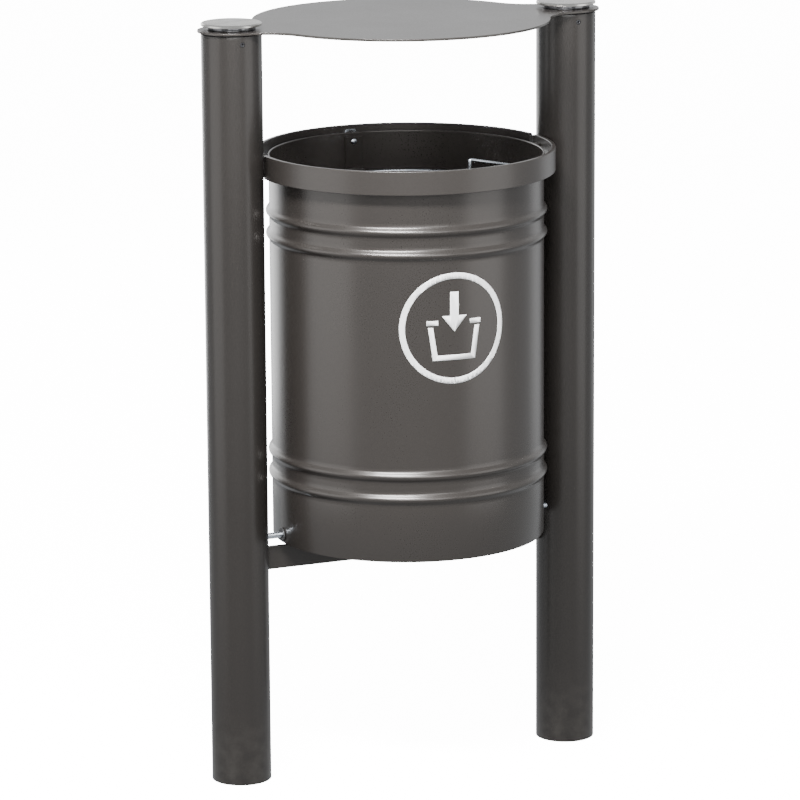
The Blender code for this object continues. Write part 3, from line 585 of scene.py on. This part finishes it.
def make_crossbar():
    refined("crossbar", "frame", frame_paint, 0.0006)
    proud = 0.0006
    inset = 0.0008
    across = (BAR_HIGH.y - BAR_LOW.y) / 2 + proud
    reach = math.sqrt(POST_RADIUS ** 2 - across ** 2)
    for side, sign in SIDES:
        for face, back in (("front", -1), ("rear", 1)):
            x = sign * (POST.x - reach - proud)
            y = POST.y + back * across
            weld_bead(f"{side}_crossbar_{face}_weld", (x, y, BAR_LOW.z + inset),
                      (x, y, BAR_HIGH.z - inset), 0.0017, frame_paint, "frame")


# ---------------------------------------------------------------- bin

def rib_heights():
    return [BOTTOM_Z + h for h in RIBS_ABOVE_BOTTOM] + [RIM_Z - h for h in reversed(RIBS_BELOW_RIM)]


def rib_bulge(t):
    """How far a rib stands out at t, which runs from -1 to 1 across it."""
    return RIB_HEIGHT * (0.5 + 0.5 * math.cos(math.pi * t)) ** 0.85


def body_profile():
    """Outer wall from the bottom up over the rounded ribs and the hem, then back down on the inside."""
    flat = 0.004
    steps = 14
    wall = [(BODY_RADIUS - 0.0002, BOTTOM_Z + 0.0003), (BODY_RADIUS, BOTTOM_Z + 0.0008)]
    for height in rib_heights():
        wall.append((BODY_RADIUS, height - RIB_HALF_BASE - flat))
        for i in range(steps + 1):
            t = 2 * i / steps - 1
            wall.append((BODY_RADIUS + rib_bulge(t), height + RIB_HALF_BASE * t))
        wall.append((BODY_RADIUS, height + RIB_HALF_BASE + flat))
    inside = [(radius - BODY_WALL, height) for radius, height in reversed(wall)]
    fold = RIM_Z - HEM_HEIGHT
    lip = HEM_STEP / 2 + BODY_WALL / 2
    hem_radius = BODY_RADIUS + HEM_STEP
    corner = 0.0004
    hem = [(BODY_RADIUS, fold - 0.004), (BODY_RADIUS, fold - 0.0002), (hem_radius - corner, fold),
           (hem_radius, fold + corner), (hem_radius, RIM_Z - lip - corner)]
    hem += arc((hem_radius - lip, RIM_Z - lip), lip, 0, 180, 8)
    hem += [(BODY_RADIUS - BODY_WALL, RIM_Z - lip - 0.0006)]
    return wall + hem + inside


def make_body():
    """The rolled shell with its bush holes, and the ground seam down its rear, outside and inside."""
    shell = turned(body_profile(), 240, Matrix.Translation((0, BIN_Y, 0)))
    body = piece("bin_shell", shell, bin_paint, "bin", ["bin_body"], centre=(0, BIN_Y, 0),
                 sharp=50)
    inside = BODY_RADIUS - BODY_WALL
    for side, sign in SIDES:
        start = Vector((sign * (inside - 0.004), BIN_Y, PIVOT_Z))
        drill(body, "bush_hole", rod(BUSH_HOLE_RADIUS, start, start + Vector((sign * 0.010, 0, 0))))
    seam_low = BOTTOM_Z + 0.002
    seam_high = RIM_Z - HEM_HEIGHT - 0.003
    steps = 320
    radii = [SEAM_RADIUS * (1 + 0.10 * math.sin(i * 1.9)) for i in range(steps + 1)]
    for face, radius in (("outer", BODY_RADIUS - 0.0001), ("inner", inside + 0.0001)):
        points = []
        for i in range(steps + 1):
            z = seam_low + (seam_high - seam_low) * i / steps
            bulge = 0.0
            for rib in rib_heights():
                t = (z - rib) / RIB_HALF_BASE
                if abs(t) < 1:
                    bulge = rib_bulge(t)
            points.append(around(radius + bulge, 180, z))
        piece(f"body_{face}_seam", tube(points, radii, 8), bin_paint, "bin", sharp=60)


def hoop_bar(start, end):
    """Rolled flat bar between two azimuths, as a square-edged sweep for soften()."""
    bm = bmesh.new()
    corners = ((HOOP_OUTER, HOOP_LOW.z), (HOOP_OUTER, HOOP_HIGH.z), (HOOP_INNER, HOOP_HIGH.z),
               (HOOP_INNER, HOOP_LOW.z))
    steps = int((end - start) / 1.5)
    sections = []
    for i in range(steps + 1):
        azimuth = start + (end - start) * i / steps
        sections.append([bm.verts.new(around(r, azimuth, z)) for r, z in corners])
    for a, b in zip(sections, sections[1:]):
        for k in range(4):
            n = (k + 1) % 4
            bm.faces.new((a[k], a[n], b[n], b[k]))
    bm.faces.new(sections[0])
    bm.faces.new(sections[-1])
    return bm


def make_hoops():
    """Front and rear hoop, and the tabs with a bead of weld at the rim and at the hoop."""
    rear_low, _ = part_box("rear_hoop")
    front_end = 90 + math.degrees(math.asin((HOOP_HIGH.y - BIN_Y) / HOOP_OUTER))
    rear_end = 90 + math.degrees(math.asin((rear_low.y - BIN_Y) / HOOP_INNER))
    piece("front_hoop_bar", hoop_bar(-front_end, front_end), hoop_paint, "bin",
          ["front_hoop"], bevel=HOOP_EDGE)
    rear = piece("rear_hoop_bar", hoop_bar(rear_end, 360 - rear_end), hoop_paint, "frame",
                 ["rear_hoop"])
    back = around(HOOP_INNER - 0.003, 180, (HOOP_LOW.z + HOOP_HIGH.z) / 2)
    drill(rear, "lock_hole", rod(LOCK_HOLE_RADIUS, back, back + Vector((0, 0.012, 0)), 48))
    soften(rear, HOOP_EDGE)
    steps = 24
    radii = [0.0011 * (0.9 + 0.12 * math.sin(i * 1.3)) for i in range(steps + 1)]
    for label, azimuth in TABS:
        refined(f"{label}_hoop_tab", "bin", hoop_paint, 0.0005)
        tab_low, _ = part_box(f"{label}_hoop_tab")
        z = tab_low.z - 0.0001
        for face, radius in (("rim", BODY_RADIUS + HEM_STEP + 0.0004), ("hoop", HOOP_INNER - 0.0006)):
            half = math.degrees(TAB_HALF_WIDTH / radius)
            points = [around(radius, azimuth - half + 2 * half * i / steps, z) for i in range(steps + 1)]
            piece(f"{label}_tab_{face}_weld", tube(points, radii, 10), hoop_paint, "bin",
                  sharp=60)


# ---------------------------------------------------------------- pictogram

def circle(radius, steps):
    turns = [2 * math.pi * i / steps for i in range(steps)]
    return [(radius * math.cos(angle), radius * math.sin(angle)) for angle in turns]


def make_pictogram():
    """A ring round an arrow that points down into an open tub, in white film on the front of the bin."""
    outer = 0.070
    band = 0.0075
    height = RIM_Z - 0.193
    turn = -3.7
    slice_width = 0.002
    slices = 34
    film_thickness = 0.00022
    bm = bmesh.new()

    def fill(outline, hole=None):
        edges = []
        for loop in (outline, hole or []):
            verts = [bm.verts.new((x, 0.0, y)) for x, y in loop]
            edges += [bm.edges.new((verts[i], verts[(i + 1) % len(verts)])) for i in range(len(verts))]
        bmesh.ops.triangle_fill(bm, use_beauty=True, use_dissolve=False, edges=edges)

    fill(circle(outer, 128), circle(outer - band, 128))
    fill([(-0.0055, 0.046), (0.0055, 0.046), (0.0055, 0.016), (0.0165, 0.016),
          (0.0, -0.004), (-0.0165, 0.016), (-0.0055, 0.016)])
    fill([(-0.034, 0.002), (-0.028, -0.040), (0.028, -0.040), (0.034, 0.002),
          (0.0275, 0.002), (0.0222, -0.0335), (-0.0222, -0.0335), (-0.0275, 0.002)])
    fill([(-0.036, 0.0105), (-0.021, 0.0105), (-0.021, 0.0045), (-0.036, 0.0045)])
    fill([(0.021, 0.0105), (0.036, 0.0105), (0.036, 0.0045), (0.021, 0.0045)])
    for i in range(-slices, slices + 1):
        geometry = bm.verts[:] + bm.edges[:] + bm.faces[:]
        cut = (i * slice_width, 0, 0)
        bmesh.ops.bisect_plane(bm, geom=geometry, plane_co=cut, plane_no=(1, 0, 0))
    radius = BODY_RADIUS + film_thickness / 2 + 0.00001
    for vert in bm.verts:
        angle = math.degrees(vert.co.x / radius)
        vert.co = around(radius, angle + turn, height + vert.co.z)
    obj = piece("pictogram", bm, decal_white, "bin", sharp=180)
    film = obj.modifiers.new("film", "SOLIDIFY")
    film.thickness = film_thickness
    film.offset = 0.0


# ---------------------------------------------------------------- bag ring

def ring_route():
    """Closed route of the wire, sampled every millimetre and then eased round its bends."""
    hinge = math.degrees(math.asin(RING_HINGE_HALF / RING_RADIUS))

    def stretch(start, end, steps, rise=0.0, rise_end=0.0):
        return [around(RING_RADIUS, start + (end - start) * i / steps,
                       RING_Z + rise + (rise_end - rise) * i / steps) for i in range(steps + 1)]

    grip_low = GRIP_TOP - GRIP_SLOPE
    route = stretch(GRIP_END, 180 - hinge, 120)
    route += stretch(180 + hinge, 360 + GRIP_START, 160)
    route += stretch(GRIP_START, GRIP_START, 4, GRIP_FOOT, GRIP_TOP)
    route += stretch(GRIP_START, GRIP_END, 30, GRIP_TOP, grip_low)
    route += stretch(GRIP_END, GRIP_END, 4, grip_low, GRIP_FOOT)
    dense = []
    for a, b in zip(route, route[1:] + route[:1]):
        count = max(1, round((b - a).length / 0.001))
        dense += [a + (b - a) * (i / count) for i in range(count)]
    reach = 3
    count = len(dense)
    smooth = []
    for i in range(count):
        total = Vector()
        for k in range(-reach, reach + 1):
            total += dense[(i + k) % count]
        smooth.append(total / (2 * reach + 1))
    return smooth


def make_bag_ring():
    route = ring_route()
    piece("bag_ring_wire", tube(route, [WIRE] * len(route), 14, closed=True), zinc, "bag_ring",
          ["bag_ring"], sharp=60)


# ---------------------------------------------------------------- small parts

def make_small_parts():
    """Everything else keeps the CAD shape, with softened edges and its own finish."""
    for side, _ in SIDES:
        for name, mat, slot in (("post_plug", nylon, "black_nylon"),
                                ("grub_screw", black_oxide, "dark_screw"),
                                ("roof_gasket", rubber, "rubber"),
                                ("stop_pad", rubber, "rubber"),
                                ("hoop_bracket", frame_paint, "frame_paint"),
                                ("pivot_bolt", zinc, "zinc"),
                                ("pivot_washer", zinc, "zinc"),
                                ("weld_nut", zinc, "zinc")):
            refined(f"{side}_{name}", "frame", mat, 0.0002)
        refined(f"{side}_pivot_bush", "bin", nylon, 0.0002)
        refined(f"{side}_ring_rest", "bin", zinc, 0.0003)
    refined("bin_floor", "bin", bin_paint, 0.0003)
    refined("lock_housing", "frame", stainless, 0.0002)
    refined("lock_nut", "frame", zinc, 0.0003)
    refined("lock_plug", "lock", stainless, 0.0002)
    refined("lock_cam", "lock", zinc, 0.0003)
    refined("lock_striker", "bin", zinc, 0.0003)
    refined("ring_clip", "bin", bin_paint, 0.0003)
    refined("clip_rivet", "bin", zinc, 0.0001)


# ---------------------------------------------------------------- studio

STUDIO_AIM = Vector((0.0, 0.0, 0.55))
FLOOR_RADIUS = 40.0
CAMERA_PLACE = Vector((-2.2696, -5.2610, 1.7729))
CAMERA_YAW = 23.263
CAMERA_PITCH = 12.755
CAMERA_ROLL = -0.365
CAMERA_LENS = 206.67


def make_camera():
    data = bpy.data.cameras.new("camera")
    data.lens = CAMERA_LENS
    data.sensor_width = 36.0
    data.clip_end = 100.0
    camera = bpy.data.objects.new("camera", data)
    yaw = Matrix.Rotation(math.radians(-CAMERA_YAW), 4, "Z")
    pitch = Matrix.Rotation(math.radians(90 - CAMERA_PITCH), 4, "X")
    roll = Matrix.Rotation(math.radians(CAMERA_ROLL), 4, "Z")
    camera.matrix_world = Matrix.Translation(CAMERA_PLACE) @ yaw @ pitch @ roll
    bpy.context.scene.collection.objects.link(camera)
    bpy.context.scene.camera = camera


def softbox(name, azimuth, elevation, distance, width, height, power):
    """A rectangular light that faces the bin. Azimuth 0 is in front, positive to the right."""
    data = bpy.data.lights.new(name, "AREA")
    data.shape = "RECTANGLE"
    data.size = width
    data.size_y = height
    data.energy = power
    light = bpy.data.objects.new(name, data)
    a = math.radians(azimuth)
    e = math.radians(elevation)
    out = Vector((math.sin(a) * math.cos(e), -math.cos(a) * math.cos(e), math.sin(e)))
    light.location = STUDIO_AIM + out * distance
    light.rotation_mode = "QUATERNION"
    light.rotation_quaternion = (-out).to_track_quat("-Z", "Y")
    light.visible_camera = False
    bpy.context.scene.collection.objects.link(light)


def make_studio():
    """A bright plain floor that lights nothing itself, an even cool sky, and the softboxes."""
    finish = Finish("studio_floor")
    tone = finish.noise(0.8, 2.0)
    base = finish.blend(finish.ranged(tone, 0.3, 0.7, 0.0, 1.0), (0.90, 0.90, 0.895), (0.93, 0.93, 0.925))
    finish.link(base, finish.shader.inputs["Base Color"])
    finish.fixed(Roughness=0.9, Emission_Color=(1.0, 1.0, 1.0, 1.0), Emission_Strength=14.0)
    bm = bmesh.new()
    bmesh.ops.create_circle(bm, cap_ends=True, segments=96, radius=FLOOR_RADIUS)
    mesh = bpy.data.meshes.new("studio_floor")
    bm.to_mesh(mesh)
    bm.free()
    mesh.materials.append(finish.material)
    floor = bpy.data.objects.new("studio_floor", mesh)
    floor.location.z = -0.0005
    floor.visible_diffuse = False
    floor.visible_glossy = False
    bpy.context.scene.collection.objects.link(floor)

    world = bpy.data.worlds.new("studio")
    bpy.context.scene.world = world
    world.use_nodes = True
    background = world.node_tree.nodes["Background"]
    background.inputs["Color"].default_value = (0.95, 0.975, 1.0, 1.0)
    background.inputs["Strength"].default_value = 0.60

    softbox("key_strip", -36, 48, 2.7, 1.3, 0.35, 235)
    softbox("left_softbox", -90, 8, 3.0, 2.4, 2.6, 27)
    softbox("front_softbox", -15, 22, 3.0, 2.6, 1.4, 62)
    softbox("right_softbox", 44, 8, 3.0, 2.0, 2.6, 26)
    softbox("right_edge_strip", 110, 8, 3.0, 1.0, 2.6, 4)
    softbox("rear_left_panel", -172, 8, 3.6, 1.8, 3.0, 44)
    softbox("rear_panel", 157, 17, 4.0, 4.0, 2.2, 13)


make_posts()
make_roof()
make_caps()
make_crossbar()
make_hoops()
make_body()
make_pictogram()
make_bag_ring()
make_small_parts()
make_studio()
make_camera()
